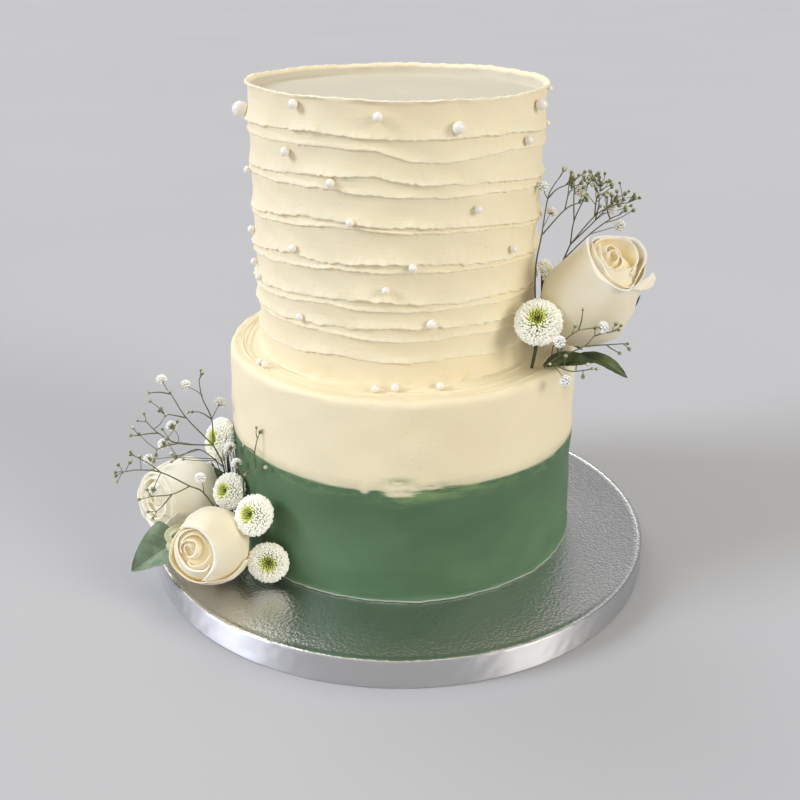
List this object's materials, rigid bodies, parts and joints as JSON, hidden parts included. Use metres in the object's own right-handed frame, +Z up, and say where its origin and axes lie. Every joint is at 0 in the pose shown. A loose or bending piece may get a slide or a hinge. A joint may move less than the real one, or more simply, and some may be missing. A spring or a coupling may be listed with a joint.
{
  "type": "tiered wedding cake",
  "caption": "Tiered round wedding cake on a silver board, with spatula-ridged cream icing, a green band, sugar pearls, ivory roses, button mums, gypsophila and leaves.",
  "frame": {"origin": "centre of the board's flat underside, where the cake rests", "axes": "+Z up through the tiers, -Y towards the front of the cake, +X towards the rose that stands on the ledge"},
  "size_m": [0.3174, 0.3048, 0.2849],
  "materials": {
    "cream_icing": "matte",
    "green_icing": "matte",
    "silver_foil": "satin",
    "rose_petal": "matte",
    "mum_petal": "matte",
    "leaf": "satin",
    "sugar_pearl": "gloss",
    "gypsophila": "matte"
  },
  "bodies": {
    "root": {"cake_board": "silver_foil", "lower_tier": "cream_icing", "green_icing": "green_icing", "upper_tier": "cream_icing", "rose_right": "rose_petal", "rose_left_front": "rose_petal", "rose_left_back": "rose_petal", "mum_right_front": "mum_petal", "mum_right_back": "mum_petal", "mum_left_high": "mum_petal", "mum_left_middle": "mum_petal", "mum_left_low": "mum_petal", "mum_left_back": "mum_petal", "leaf_left": "leaf", "leaf_right_long": "leaf", "leaf_right_short": "leaf", "sprig_right_tall": "gypsophila", "sprig_right_wide": "gypsophila", "sprig_right_low": "gypsophila", "sprig_left_tall": "gypsophila", "sprig_left_wide": "gypsophila", "sprig_left_short": "gypsophila"}
  },
  "joints": []
}
